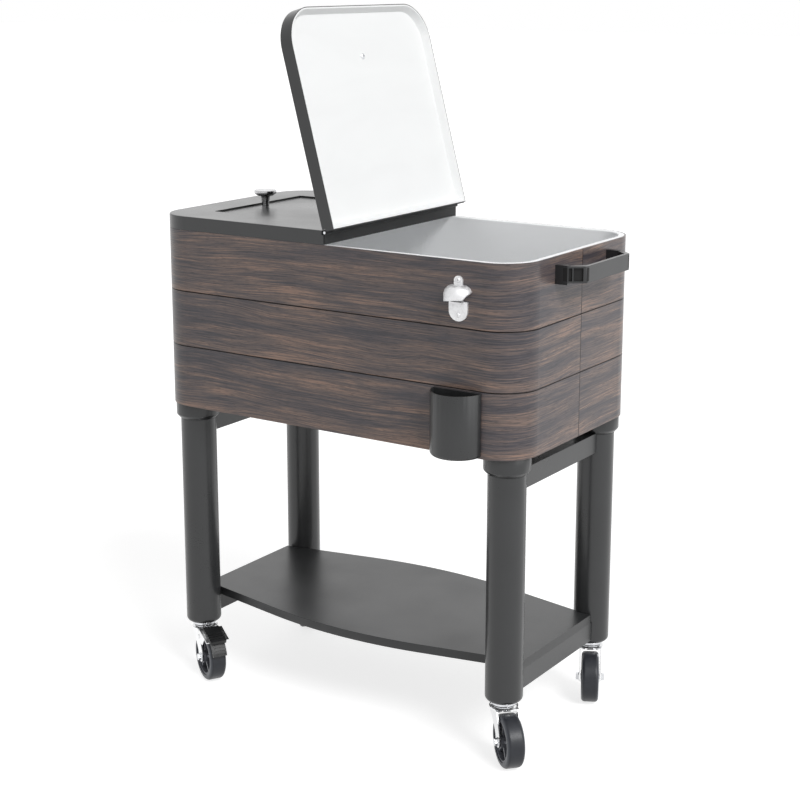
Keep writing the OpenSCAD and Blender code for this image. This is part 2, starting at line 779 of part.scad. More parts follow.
// One hinge leaf on the right of the pin, with the knuckles whose number has the parity asked for
module hinge_leaf(parity, play) {
    hinge_l = body_w - 2 * lid_edge_r;
    pitch = hinge_l / knuckle_count;
    difference() {
        union() {
            translate([leaf_gap / 2, -hinge_l / 2, hinge_z - knuckle_d / 2 - leaf_h])
                cube([leaf_t, hinge_l, leaf_h - knuckle_gap]);
            for (i = [0 : knuckle_count - 1]) if (i % 2 == parity)
                translate([0, -hinge_l / 2 + i * pitch + knuckle_gap / 2, 0]) {
                    translate([0, 0, hinge_z]) rotate([-90, 0, 0]) cylinder(h = pitch - knuckle_gap, r = knuckle_d / 2);
                    translate([leaf_gap / 2, 0, hinge_z - knuckle_d / 2 - 2]) cube([leaf_t, pitch - knuckle_gap, knuckle_d / 2 + 2]);
                }
        }
        translate([0, -body_w, hinge_z]) rotate([-90, 0, 0]) cylinder(h = 2 * body_w, r = pin_d / 2 + play);
    }
}

module left_hinge_leaf() { color(black) cart() mirror([1, 0, 0]) hinge_leaf(0, 0); }

module right_hinge_leaf() { color(black) cart() opened() hinge_leaf(1, pin_play); }

module hinge_pin() {
    color(white) cart() translate([0, -body_w / 2 + 0.5, hinge_z]) rotate([-90, 0, 0])
        cylinder(h = body_w - 1, r = pin_d / 2);
}

// A leg tube with a rounded, closed lower end
module leg(c) {
    h = leg_top - caster_h;
    translate([c[0] * leg_x, c[1] * leg_y, caster_h]) rotate_extrude() difference() {
        leg_profile(leg_r, h, leg_edge_r);
        translate([0, leg_wall]) leg_profile(leg_r - leg_wall, h, leg_edge_r - leg_wall);
        square([stem_d / 2 + slip, 4 * leg_wall]);
    }
}

module leg_profile(r, h, edge_r) {
    translate([0, edge_r]) square([r, h - edge_r]);
    square([r - edge_r, edge_r]);
    intersection() {
        translate([r - edge_r, edge_r]) circle(edge_r);
        translate([r - edge_r, 0]) square(edge_r);
    }
}

module leg_front_left() { color(charcoal) cart() leg(CORNERS[0]); }

module leg_front_right() { color(charcoal) cart() leg(CORNERS[1]); }

module leg_back_left() { color(charcoal) cart() leg(CORNERS[2]); }

module leg_back_right() { color(charcoal) cart() leg(CORNERS[3]); }

// The castings that carry the tub on the leg tubes
module leg_collars() {
    r = collar_d / 2;
    low = body_z - collar_h;
    bore = leg_r + slip;
    hole = leg_bolt_d / 2 + slip;
    color(charcoal) cart() for (c = CORNERS) translate([c[0] * leg_x, c[1] * leg_y, 0]) rotate_extrude()
        polygon([[hole, body_z - collar_top], [hole, body_z], [r, body_z], [r, low + collar_cone],
            [bore + 1, low], [bore, low], [bore, body_z - collar_top]]);
}

// Bolts through the bottom pan and collars, with their nuts
module leg_bolts() {
    r = leg_bolt_d / 2;
    head_h = 0.64 * leg_bolt_d;
    nut_h = 0.8 * leg_bolt_d;
    color(steel) cart() for (c = CORNERS) translate([c[0] * leg_x, c[1] * leg_y, body_z]) {
        translate([0, 0, pan_t + slip / 2]) cylinder(h = head_h, r = 1.65 * r, $fn = 6);
        translate([0, 0, -collar_top - 2.5 * r]) cylinder(h = collar_top + 2.5 * r + pan_t + past, r = r);
        translate([0, 0, -collar_top - nut_h - slip]) difference() {
            cylinder(h = nut_h, r = 1.85 * r, $fn = 6);
            translate([0, 0, -past]) cylinder(h = nut_h + 2 * past, r = r);
        }
    }
}

// Plugs inside the legs that take the caster stems
module leg_inserts() {
    color(black) cart() for (c = CORNERS) translate([c[0] * leg_x, c[1] * leg_y, caster_h + leg_edge_r])
        difference() {
            cylinder(h = stem_len - leg_edge_r - 1, r = leg_r - leg_wall - slip);
            translate([0, 0, -past]) cylinder(h = stem_len, r = stem_d / 2 + slip);
        }
}

// Each caster's fixed part: stem, upper race and the rivet head under the fork's crown
module caster_stems() {
    pin_r = stem_d / 2;
    color(steel) cart() for (c = CORNERS) translate([c[0] * leg_x, c[1] * leg_y, 0]) rotate_extrude()
        polygon([[0, crown_z - 4.5], [pin_r + 3, crown_z - 4.5], [pin_r + 3, crown_z - 0.3], [pin_r, crown_z - 0.3],
            [pin_r, race_z + 3.6], [crown_r - 5, race_z + 3.6], [crown_r - 3, race_z + 5],
            [crown_r - 3, caster_h - 1.5], [crown_r - 6, caster_h - slip / 2], [pin_r, caster_h - slip / 2],
            [pin_r, caster_h + stem_len], [0, caster_h + stem_len]]);
}

// The room that a collar takes, with the clearance
module collar_room() {
    r = collar_d / 2 + slip;
    low = body_z - collar_h - slip;
    translate([0, 0, low]) cylinder(h = collar_cone, r1 = leg_r + 1 + 2 * slip, r2 = r);
    translate([0, 0, low + collar_cone]) cylinder(h = collar_h, r = r);
}

// A box-section rail along Y between a front and a back leg, coped to the tubes and the collars
module end_rail(z0) {
    difference() {
        translate([rail_x - rail_w / 2, -leg_y, z0]) cube([rail_w, 2 * leg_y, rail_h]);
        translate([rail_x - rail_w / 2 + rail_wall, -leg_y - past, z0 + rail_wall])
            cube([rail_w - 2 * rail_wall, 2 * (leg_y + past), rail_h - 2 * rail_wall]);
        for (s = [-1, 1]) translate([leg_x, s * leg_y, 0]) {
            translate([0, 0, z0 - past]) cylinder(h = rail_h + 2 * past, r = leg_r + slip);
            collar_room();
        }
        if (z0 == lower_rail_z) for (y = shelf_screw_y()) translate([rail_x, y, z0 - past])
            cylinder(h = rail_h + 2 * past, r = 2.5 + slip);
    }
}

function shelf_screw_y() = [-shelf_end_w / 4, shelf_end_w / 4];

module upper_rail_left() { color(charcoal) cart() mirror([1, 0, 0]) end_rail(upper_rail_z); }

module upper_rail_right() { color(charcoal) cart() end_rail(upper_rail_z); }

module lower_rail_left() { color(charcoal) cart() mirror([1, 0, 0]) end_rail(lower_rail_z); }

module lower_rail_right() { color(charcoal) cart() end_rail(lower_rail_z); }

// The shelf's plan: straight ends, slanted edges, and an arc at the middle that both slants run into
module shelf_plan(inset) {
    angle = atan(shelf_slope);
    x_end = shelf_half - inset;
    y_end = shelf_end_w / 2 - inset / cos(angle) + inset * shelf_slope;
    peak = y_end + shelf_slope * x_end;
    apex = shelf_mid_w / 2 - inset;
    r = (peak - apex) * cos(angle) / (1 - cos(angle));
    touch_x = r * sin(angle);
    touch_y = peak - shelf_slope * touch_x;
    polygon([[x_end, -y_end], [x_end, y_end], [touch_x, touch_y], [-touch_x, touch_y],
        [-x_end, y_end], [-x_end, -y_end], [-touch_x, -touch_y], [touch_x, -touch_y]]);
    for (s = [0, 180]) rotate([0, 0, s]) intersection() {
        translate([0, apex - r]) circle(r, $fn = 240);
        translate([-touch_x, 0]) square([2 * touch_x, apex + past]);
    }
}

module shelf() {
    color(charcoal) cart() difference() {
        translate([0, 0, shelf_z - shelf_h]) linear_extrude(shelf_h) difference() {
            shelf_plan(0);
            for (c = CORNERS) translate([c[0] * leg_x, c[1] * leg_y]) circle(leg_r + shelf_leg_gap);
        }
        translate([0, 0, shelf_z - shelf_h - past]) linear_extrude(shelf_h - shelf_t + past) difference() {
            shelf_plan(shelf_t);
            for (c = CORNERS) translate([c[0] * leg_x, c[1] * leg_y]) circle(leg_r + shelf_leg_gap + shelf_t);
            for (s = [-1, 1], y = shelf_screw_y()) translate([s * rail_x, y]) circle(7);
        }
        for (s = [-1, 1], y = shelf_screw_y()) translate([s * rail_x, y, shelf_z - shelf_h - past])
            cylinder(h = shelf_h - 2 * shelf_t + past, r = 2.5 + slip);
    }
}

module shelf_screws() {
    color(steel) cart() for (s = [-1, 1], y = shelf_screw_y()) translate([s * rail_x, y, lower_rail_z]) {
        translate([0, 0, -3]) cylinder(h = 3, r = 5);
        translate([0, 0, -1]) cylinder(h = rail_h + shelf_h - 3 * shelf_t + 1, r = 2.5);
    }
}

// Puts a caster's piece, drawn with its trail along +X, at a corner and turns it
module at_corner(i) {
    turn = [turn_front_left, turn_front_right, turn_back_left, turn_back_right][i];
    c = CORNERS[i];
    cart() translate([c[0] * leg_x, c[1] * leg_y, 0]) rotate([0, 0, turn]) children();
}

// A pressed fork: crown, two tapering legs and the lower race; the left forks have ears for a brake
module fork(i) {
    at_corner(i) difference() {
        union() {
            translate([0, 0, crown_z]) cylinder(h = fork_t, r = crown_r);
            translate([-4, -fork_half - fork_t, crown_z]) cube([crown_r + 2, 2 * (fork_half + fork_t), fork_t]);
            translate([0, 0, race_z]) cylinder(h = 2.4, r1 = crown_r - 2, r2 = crown_r - 5);
            for (s = [-1, 1]) translate([0, s * (fork_half + fork_t / 2), 0]) rotate([90, 0, 0])
                linear_extrude(fork_t, center = true) {
                    fork_side();
                    if (i % 2 == 0) {
                        translate(pivot) circle(6);
                        translate([pivot[0] - 20, pivot[1] - 6]) square([20, 12]);
                    }
                }
        }
        translate([0, 0, crown_z - past]) cylinder(h = 3 * fork_t, r = stem_d / 2 + turn_play);
        translate([trail, fork_half + 2 * fork_t, wheel_r]) rotate([90, 0, 0])
            cylinder(h = 2 * fork_half + 4 * fork_t, r = axle_d / 2 - 1.5 + slip);
        if (i % 2 == 0) translate([pivot[0], fork_half + 2 * fork_t, pivot[1]]) rotate([90, 0, 0])
            cylinder(h = 2 * fork_half + 4 * fork_t, r = pivot_r + turn_play);
    }
}

// A fork leg's outline, tapering to the axle eye
module fork_side() {
    eye = 9.5;
    polygon([[-8, crown_z + fork_t / 2], [crown_r - 2, crown_z + fork_t / 2], [crown_r + 2, crown_z - 8],
        [trail + eye, wheel_r + 9], [trail + eye, wheel_r], [trail - eye, wheel_r], [trail - eye - 2, wheel_r + 9],
        [trail - eye - 12, crown_z - 24], [-10, crown_z - 9]]);
    translate([trail, wheel_r]) circle(eye);
}

module fork_front_left() { color(chrome) fork(0); }

module fork_front_right() { color(chrome) fork(1); }

module fork_back_left() { color(chrome) fork(2); }

module fork_back_right() { color(chrome) fork(3); }

// A shouldered axle with a hex head and a nut outside the fork
module axle(i) {
    end_r = axle_d / 2 - 1.5;
    at_corner(i) translate([trail, 0, wheel_r]) rotate([90, 0, 0]) {
        cylinder(h = 2 * fork_half - 2 * slip, r = axle_d / 2, center = true);
        cylinder(h = 2 * (fork_half + fork_t) + 10, r = end_r, center = true);
        for (s = [0, 180]) rotate([s, 0, 0]) translate([0, 0, fork_half + fork_t + slip / 2]) {
            cylinder(h = 1, r = end_r + 4);
            translate([0, 0, 1]) cylinder(h = 4.5, r = end_r + 3, $fn = 6);
        }
    }
}

module axle_front_left() { color(steel) axle(0); }

module axle_front_right() { color(steel) axle(1); }

module axle_back_left() { color(steel) axle(2); }

module axle_back_right() { color(steel) axle(3); }

// A wheel's spoked hub, with pockets on both sides of a thin web
module hub(i) {
    rim_in = hub_r - 3.5;
    boss_r = axle_d / 2 + 6;
    at_corner(i) translate([trail, 0, wheel_r]) rotate([90, 0, 0]) difference() {
        union() {
            difference() {
                cylinder(h = wheel_w - 3, r = hub_r, center = true);
                cylinder(h = wheel_w, r = rim_in, center = true);
            }
            cylinder(h = wheel_w + 2, r = boss_r, center = true);
            cylinder(h = 2, r = rim_in + past, center = true);
            for (k = [0 : spoke_count - 1]) rotate([0, 0, k * 360 / spoke_count + 90])
                translate([boss_r - past, -2.25, -(wheel_w - 7) / 2])
                    cube([rim_in - boss_r + 2 * past, 4.5, wheel_w - 7]);
        }
        cylinder(h = 2 * wheel_w, r = axle_d / 2 + turn_play, center = true);
    }
}

module hub_front_left() { color(dark_grey) hub(0); }

module hub_front_right() { color(dark_grey) hub(1); }

module hub_back_left() { color(dark_grey) hub(2); }

module hub_back_right() { color(dark_grey) hub(3); }

// A tyre with rounded shoulders
module tyre(i) {
    shoulder = 0.6 * tyre_t;
    half = wheel_w / 2;
    at_corner(i) translate([trail, 0, wheel_r]) rotate([90, 0, 0]) rotate_extrude($fn = 96) difference() {
        union() {
            translate([hub_r, -half]) square([tyre_t - shoulder, wheel_w]);
            translate([hub_r, -half + shoulder]) square([tyre_t, wheel_w - 2 * shoulder]);
            for (s = [-1, 1]) translate([wheel_r - shoulder, s * (half - shoulder)]) circle(shoulder);
        }
        translate([0, -wheel_w]) square([hub_r + slip / 2, 2 * wheel_w]);
    }
}

module tyre_front_left() { color(dark_grey) tyre(0); }

module tyre_front_right() { color(dark_grey) tyre(1); }

module tyre_back_left() { color(dark_grey) tyre(2); }

module tyre_back_right() { color(dark_grey) tyre(3); }

// The brake's lever: a sloping plate between two flanges, with a rivet through each fork ear
module brake_lever(i) {
    inner = fork_half + fork_t + 0.3;
    color(chrome) at_corner(i) {
        translate([0, inner + lever_t, 0]) rotate([90, 0, 0]) linear_extrude(2 * (inner + lever_t))
            on_slope() translate([0, -lever_t]) square([lever_l, lever_t]);
        for (s = [-1, 1]) scale_y(s) {
            translate([0, inner + lever_t, 0]) rotate([90, 0, 0]) linear_extrude(lever_t) {
                translate(pivot) circle(6.5);
                translate([pivot[0] + 14, pivot[1] - 3]) circle(8);
                polygon([[pivot[0] - 5, pivot[1] + 4], slope_start + [0.5, -1], slope_start + [26, -9.6],
                    [pivot[0] + 21, pivot[1] - 6], [pivot[0] + 14, pivot[1] - 11], [pivot[0] + 2, pivot[1] - 6]]);
            }
            translate([pivot[0], inner + past, pivot[1]]) rotate([90, 0, 0])
                cylinder(h = inner + past - fork_half + 0.4, r = pivot_r);
            translate([pivot[0], inner + lever_t + 1.6, pivot[1]]) rotate([90, 0, 0]) cylinder(h = 2, r = 4);
        }
    }
}

// The brake's rubber-like parts: a ridged pad on the lever and a ribbed shoe over the tread
module brake_pads(i) {
    shoe_w = pedal_w - 4;
    shoe_t = 5;
    shoe_r = wheel_r + brake_gap;
    color(black) at_corner(i) {
        translate([0, pedal_w / 2, 0]) rotate([90, 0, 0]) linear_extrude(pedal_w) on_slope() {
            translate([1, slip / 2]) square([lever_l + 2, 2.6]);
            for (s = [6 : 6 : 18]) translate([lever_l - s, 2]) square([2.6, 2.4]);
            translate([lever_l + 2, -3.5]) square([2, 6]);
        }
        difference() {
            translate([0, shoe_w / 2, 0]) rotate([90, 0, 0]) linear_extrude(shoe_w) {
                translate([trail, wheel_r]) ring_sector(shoe_r, shoe_r + shoe_t, 17, 44);
                difference() {
                    polygon([slope_start + [29, -16], slope_start + [36, -17], slope_start + [37, -8],
                        slope_start + [28, -8]]);
                    on_slope() translate([0, -lever_t - slip / 2]) square(2 * lever_l);
                    translate([trail, wheel_r]) circle(shoe_r + 2, $fn = 96);
                }
            }
            for (a = [21 : 6 : 39]) translate([trail, 0, wheel_r]) rotate([0, -a, 0])
                translate([shoe_r + 3.4, -shoe_w / 2 + 3, -1]) cube([4, shoe_w - 6, 2]);
        }
    }
}

// Puts a side view drawn along +X on the lever's slope
module on_slope() {
    translate(slope_start) rotate(-18) children();
}

// A sector of a ring between two angles
module ring_sector(r_in, r_out, from, to) {
    far = 2 * r_out;
    difference() {
        intersection() {
            circle(r_out, $fn = 96);
            polygon([[0, 0], [far * cos(from), far * sin(from)], [far * cos((from + to) / 2), far * sin((from + to) / 2)],
                [far * cos(to), far * sin(to)]]);
        }
        circle(r_in, $fn = 96);
    }
}

module brake_lever_front_left() { brake_lever(0); }

module brake_lever_back_left() { brake_lever(2); }

module brake_pads_front_left() { brake_pads(0); }

module brake_pads_back_left() { brake_pads(2); }

front_shell();
back_shell();
bottom_pan();
tank_liner();
insulation();
drain_fitting();
drain_cap();
handle_left();
handle_right();
bottle_opener();
cap_catcher();
wall_screws();
left_lid_shell();
left_lid_liner();
left_lid_foam();
left_lid_knob();
left_knob_screw();
right_lid_shell();
right_lid_liner();
right_lid_foam();
right_lid_knob();
right_knob_screw();
left_hinge_leaf();
right_hinge_leaf();
hinge_pin();
leg_front_left();
leg_front_right();
leg_back_left();
leg_back_right();
leg_collars();
leg_bolts();
leg_inserts();
caster_stems();
upper_rail_left();
upper_rail_right();
lower_rail_left();
lower_rail_right();
shelf();
shelf_screws();
fork_front_left();
fork_front_right();
fork_back_left();
fork_back_right();
axle_front_left();
axle_front_right();
axle_back_left();
axle_back_right();
hub_front_left();
hub_front_right();
hub_back_left();
hub_back_right();
tyre_front_left();
tyre_front_right();
tyre_back_left();
tyre_back_right();
brake_lever_front_left();
brake_lever_back_left();
brake_pads_front_left();
brake_pads_back_left();
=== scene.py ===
"""Patio cooler cart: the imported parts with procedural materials, seen from the photograph's side."""

import json
import math

import bpy
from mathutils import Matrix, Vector


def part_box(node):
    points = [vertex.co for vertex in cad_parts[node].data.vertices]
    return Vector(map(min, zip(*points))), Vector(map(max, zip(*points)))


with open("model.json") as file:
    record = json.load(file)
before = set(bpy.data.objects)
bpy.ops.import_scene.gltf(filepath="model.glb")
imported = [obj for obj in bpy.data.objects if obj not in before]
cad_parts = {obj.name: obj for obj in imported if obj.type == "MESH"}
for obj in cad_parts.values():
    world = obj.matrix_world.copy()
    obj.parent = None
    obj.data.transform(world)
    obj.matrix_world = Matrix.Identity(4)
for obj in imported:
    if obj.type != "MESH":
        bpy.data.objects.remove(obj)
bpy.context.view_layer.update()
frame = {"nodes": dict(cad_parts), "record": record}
NODES = frame["nodes"]

# Lengths are in metres. The tub stands this far back from the frame's middle.
MID_Y = 0.021
# Points farther out along X than this lie on the tub's ends
END_X = 0.3
# Heights of the wall's lower edge and of the grooves between the planks
WALL_LOW = 0.524
GROOVE_LOW = 0.6324
GROOVE_HIGH = 0.7298
# How far from the middle of a groove and of the seam the dark begins to fade, and where it ends
GROOVE_DARK = (0.0007, 0.0014)
SEAM_DARK = (0.0005, 0.0012)
# How far apart on the print two planks are taken, and the two sheets
PLANK_JUMP = 3.7
SHEET_JUMP = 9.1
# How high the grain rises and falls along a plank, and how far up a plank its tan lower edge reaches
GRAIN_WAVE = 0.045
TAN_EDGE_H = 0.035
# The end handles: a foot's thickness, an arm's slope, a pocket's depth and rim, the bar's height, and how far
# it starts below the foot's top
FOOT_T = 0.022
ARM_ANGLE = math.atan2(0.0185, 0.0254)
POCKET_D = 0.004
POCKET_RIM = 0.0028
HANDLE_H = 0.027
BAR_DROP = 0.0007
# The painted shade of a pocket begins this far behind the arm's face and goes this far past the pocket's
# bottom
SHADE_BEHIND = 0.0004
SHADE_PAST = 0.0006
# How far from a hub's middle plane the painted shade on its web begins to fade, and where it ends
WEB_SHADE = (0.0015, 0.0095)


class Nodes:
    """The node tree of a material or a world, with short calls for the nodes used here."""

    def __init__(self, name, kind="materials"):
        self.owner = getattr(bpy.data, kind).new(name)
        self.owner.use_nodes = True
        self.tree = self.owner.node_tree
        self.shader = self.tree.nodes.get("Principled BSDF")
        coordinates = self.tree.nodes.new("ShaderNodeTexCoord")
        self.place = coordinates.outputs["Object"]
        self.normal = coordinates.outputs["Normal"]

    def feed(self, socket, value):
        """Links a socket to another node's output, or sets its own value; a plain colour gets its alpha."""
        if isinstance(value, bpy.types.NodeSocket):
            self.tree.links.new(value, socket)
        elif socket.type == "RGBA" and len(value) == 3:
            socket.default_value = (*value, 1)
        else:
            socket.default_value = value

    def set(self, **values):
        """Feeds the shader's sockets by name; an underscore stands for a space."""
        for key, value in values.items():
            self.feed(self.shader.inputs[key.replace("_", " ")], value)

    def node(self, kind, inputs=(), **settings):
        """A new node of a kind, with its settings made and its inputs fed."""
        made = self.tree.nodes.new(kind)
        for key, value in settings.items():
            setattr(made, key, value)
        for key, value in dict(inputs).items():
            self.feed(made.inputs[key], value)
        return made

    def stretch(self, scale, place=None, offset=(0, 0, 0)):
        """A place, scaled per axis and moved; without a place, the object's own coordinates."""
        inputs = {"Vector": place or self.place, "Scale": scale, "Location": offset}
        return self.node("ShaderNodeMapping", inputs).outputs["Vector"]

    def noise(self, vector, detail=2.0, roughness=0.5, distortion=0.0):
        """Noise from 0 to 1 with features one unit wide."""
        inputs = {"Vector": vector, "Scale": 1.0, "Detail": detail, "Roughness": roughness,
                  "Distortion": distortion}
        return self.node("ShaderNodeTexNoise", inputs).outputs["Fac"]

    def math(self, operation, a, b=0.0, c=0.0):
        """The result of one arithmetic step."""
        return self.node("ShaderNodeMath", {0: a, 1: b, 2: c}, operation=operation).outputs["Value"]

    def off(self, value, middle):
        """How far a value lies from a middle, either way."""
        return self.math("ABSOLUTE", self.math("SUBTRACT", value, middle))

    def along(self, vector, axis):
        """How far a vector reaches along an axis, either way."""
        dot = self.node("ShaderNodeVectorMath", {0: vector, 1: axis}, operation="DOT_PRODUCT")
        return self.math("ABSOLUTE", dot.outputs["Value"])

    def span(self, value, low, high, to_low=0.0, to_high=1.0):
        """The value, mapped from low..high to a new range and held inside it."""
        inputs = {"Value": value, "From Min": low, "From Max": high, "To Min": to_low, "To Max": to_high}
        return self.node("ShaderNodeMapRange", inputs).outputs["Result"]

    def drift(self, noise, low=0.0, high=1.0):
        """The usual range of a noise, 0.3 to 0.7, mapped to low..high."""
        return self.span(noise, 0.3, 0.7, low, high)

    def mix(self, factor, a, b):
        """Colour a where the factor is 0, and colour b where it is 1."""
        inputs = {"Factor": factor, 6: a, 7: b}
        return self.node("ShaderNodeMix", inputs, data_type="RGBA").outputs[2]

    def ramp(self, value, stops):
        """A run of colours, each at its own value and given as a screen shows it."""
        made = self.node("ShaderNodeValToRGB", {"Fac": value})
        elements = made.color_ramp.elements
        while len(elements) < len(stops):
            elements.new(0.5)
        for element, (position, color) in zip(elements, stops):
            element.position = position
            element.color = (*srgb(*color), 1)
        return made.outputs["Color"]

    def move(self, place, x, y, z):
        """A place, moved by the given amounts along the three axes."""
        by = self.node("ShaderNodeCombineXYZ", {"X": x, "Y": y, "Z": z}).outputs["Vector"]
        return self.node("ShaderNodeVectorMath", {0: place, 1: by}, operation="ADD").outputs["Vector"]

    def axes(self):
        """The object's coordinates as three values."""
        made = self.node("ShaderNodeSeparateXYZ", {"Vector": self.place})
        return made.outputs["X"], made.outputs["Y"], made.outputs["Z"]

    def white_rays(self):
        """1 for the rays that see the white background: from the camera, a reflection or through glass."""
        path = self.node("ShaderNodeLightPath")
        seen = self.math("MAXIMUM", path.outputs["Is Camera Ray"], path.outputs["Is Glossy Ray"])
        return self.math("MAXIMUM", seen, path.outputs["Is Transmission Ray"])

    def bump(self, height, distance, strength):
        """A normal that a height of 0 to 1 tilts."""
        inputs = {"Height": height, "Distance": distance, "Strength": strength}
        return self.node("ShaderNodeBump", inputs).outputs["Normal"]


def linear(level):
    """One channel of a colour as a screen shows it, 0 to 255, made linear."""
    if level > 10:
        return ((level / 255 + 0.055) / 1.055) ** 2.4
    return level / 255 / 12.92


def srgb(*levels):
    """A colour given as a screen shows it, 0 to 255, made linear."""
    return tuple(linear(level) for level in levels)


def scaled(color, by):
    """A colour made darker or lighter, each channel held at 1."""
    return tuple(min(1, level * by) for level in color)


# The wood print's tones, from its darkest bands to its tan streaks, each at its own value
WALNUT_TONES = ((0.24, (62, 61, 67)), (0.38, (78, 73, 77)), (0.5, (99, 88, 86)), (0.6, (117, 101, 94)),
                (0.75, (151, 124, 110)))
FIBRE_COLOR = srgb(60, 53, 54)
PORE_COLOR = srgb(44, 40, 42)
GROOVE_COLOR = srgb(30, 25, 25)
SEAM_COLOR = srgb(38, 32, 32)


def walnut_print():
    """Printed steel that looks like walnut planks: dark bands, tan streaks, fine fibres and short pores."""
    n = Nodes("walnut_print")
    x, y, z = n.axes()
    above_low = n.math("GREATER_THAN", z, GROOVE_LOW)
    above_high = n.math("GREATER_THAN", z, GROOVE_HIGH)
    # Each plank shows another piece of the print, and so does the back sheet beyond the seam
    plank = n.math("ADD", above_low, above_high)
    behind = n.math("GREATER_THAN", y, MID_Y)
    jump = n.math("ADD", n.math("MULTIPLY", plank, PLANK_JUMP), n.math("MULTIPLY", behind, SHEET_JUMP))
    place = n.move(n.place, jump, jump, jump)
    # The grain rises and falls a little along the plank
    wave = n.noise(n.stretch((2.4, 2.4, 6.0), place), detail=2.0)
    waved = n.move(place, 0.0, 0.0, n.math("MULTIPLY_ADD", wave, GRAIN_WAVE, -GRAIN_WAVE / 2))
    clouds = n.noise(n.stretch((4.0, 4.0, 26.0), waved), detail=3.0, roughness=0.55)
    bands = n.noise(n.stretch((3.4, 3.4, 48.0), waved), detail=6.0, roughness=0.72, distortion=0.12)
    streaks = n.noise(n.stretch((8.0, 8.0, 460.0), waved), detail=4.0, roughness=0.7, distortion=0.08)
    fibres = n.noise(n.stretch((20.0, 20.0, 820.0), waved), detail=3.0, roughness=0.65)
    pores = n.noise(n.stretch((60.0, 60.0, 950.0), waved, (0.3, 0.1, 0.7)), detail=1.0)
    tone = n.math("MULTIPLY_ADD", streaks, 0.95, -1.03)
    tone = n.math("MULTIPLY_ADD", bands, 1.15, tone)
    tone = n.math("MULTIPLY_ADD", clouds, 0.4, tone)
    tone = n.math("MULTIPLY_ADD", fibres, 0.5, tone)
    # Each plank turns tan towards its lower edge
    low_edge = n.math("ADD", n.math("MULTIPLY", above_low, GROOVE_LOW - WALL_LOW),
                      n.math("MULTIPLY", above_high, GROOVE_HIGH - GROOVE_LOW))
    height = n.math("SUBTRACT", n.math("SUBTRACT", z, WALL_LOW), low_edge)
    tone = n.math("MULTIPLY_ADD", n.span(height, 0.0, TAN_EDGE_H, 1.0, 0.0), 0.12, tone)
    color = n.ramp(tone, WALNUT_TONES)
    color = n.mix(n.span(fibres, 0.36, 0.48, 0.45, 0.0), color, FIBRE_COLOR)
    color = n.mix(n.span(pores, 0.6, 0.7, 0.0, 0.6), color, PORE_COLOR)
    # The grooves are dark at their bottom
    off_groove = n.math("MINIMUM", n.off(z, GROOVE_LOW), n.off(z, GROOVE_HIGH))
    color = n.mix(n.span(off_groove, *GROOVE_DARK, 1.0, 0.0), color, GROOVE_COLOR)
    # So is the seam between the two sheets, in the middle of each end
    on_end = n.math("GREATER_THAN", n.math("ABSOLUTE", x), END_X)
    seam = n.math("MULTIPLY", n.span(n.off(y, MID_Y), *SEAM_DARK, 1.0, 0.0), on_end)
    color = n.mix(seam, color, SEAM_COLOR)
    grain = n.math("SUBTRACT", n.math("MULTIPLY", fibres, 0.6), n.math("MULTIPLY", pores, 0.5))
    n.set(Base_Color=color, Roughness=n.drift(streaks, 0.28, 0.38), Specular_IOR_Level=0.45,
          Normal=n.bump(grain, 0.0002, 0.2))
    return n.owner


def powder_coat(name, color, rough, coat=0.0):
    """Satin powder coat: a fine orange-peel bump, and a colour that varies a little."""
    n = Nodes(name)
    peel = n.noise(n.stretch((620, 620, 620)), detail=3.0, roughness=0.6)
    cloud = n.noise(n.stretch((9, 9, 9)), detail=3.0)
    speck = n.noise(n.stretch((1500, 1500, 1500)), detail=1.0)
    shade = n.mix(n.drift(cloud), scaled(color, 0.86), scaled(color, 1.16))
    shade = n.mix(n.span(speck, 0.62, 0.75, 0.0, 0.35), shade, scaled(color, 1.7))
    roughness = n.math("ADD", n.drift(cloud, rough - 0.04, rough + 0.04), n.drift(peel, -0.03, 0.03))
    n.set(Base_Color=shade, Roughness=roughness, Specular_IOR_Level=0.5, Coat_Weight=coat,
          Coat_Roughness=0.2, Normal=n.bump(peel, 0.0003, 0.12))
    return n.owner


def painted_pocket_shade(n):
    """Where shade is painted on the end handles: 1 inside the pockets of their arms, and 0 elsewhere."""
    low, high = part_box("handle_right")
    x, y, z = n.axes()
    past_foot = n.math("SUBTRACT", n.math("ABSOLUTE", x), low[0] + FOOT_T)
    beyond = n.math("SUBTRACT", n.off(y, MID_Y), high[1] - MID_Y)
    # How far a point lies behind the arm's outer face
    depth = n.math("MULTIPLY_ADD", past_foot, -math.sin(ARM_ANGLE),
                   n.math("MULTIPLY", beyond, -math.cos(ARM_ANGLE)))
    inside = n.math("MULTIPLY", n.math("GREATER_THAN", depth, SHADE_BEHIND),
                    n.math("LESS_THAN", depth, POCKET_D + SHADE_PAST))
    off_middle = n.off(z, high[2] - BAR_DROP - HANDLE_H / 2)
    return n.math("MULTIPLY", inside, n.math("LESS_THAN", off_middle, HANDLE_H / 2 - POCKET_RIM))


def painted_web_shade(centre, axle):
    """A function that gives the painted shade on a hub beside its web: 0.9 on the web, and 0 at the spokes'
    faces.
    """

    def shade(n):
        out = n.node("ShaderNodeVectorMath", {0: n.place, 1: centre}, operation="SUBTRACT").outputs["Vector"]
        return n.span(n.along(out, axle), *WEB_SHADE, 0.9, 0.0)

    return shade


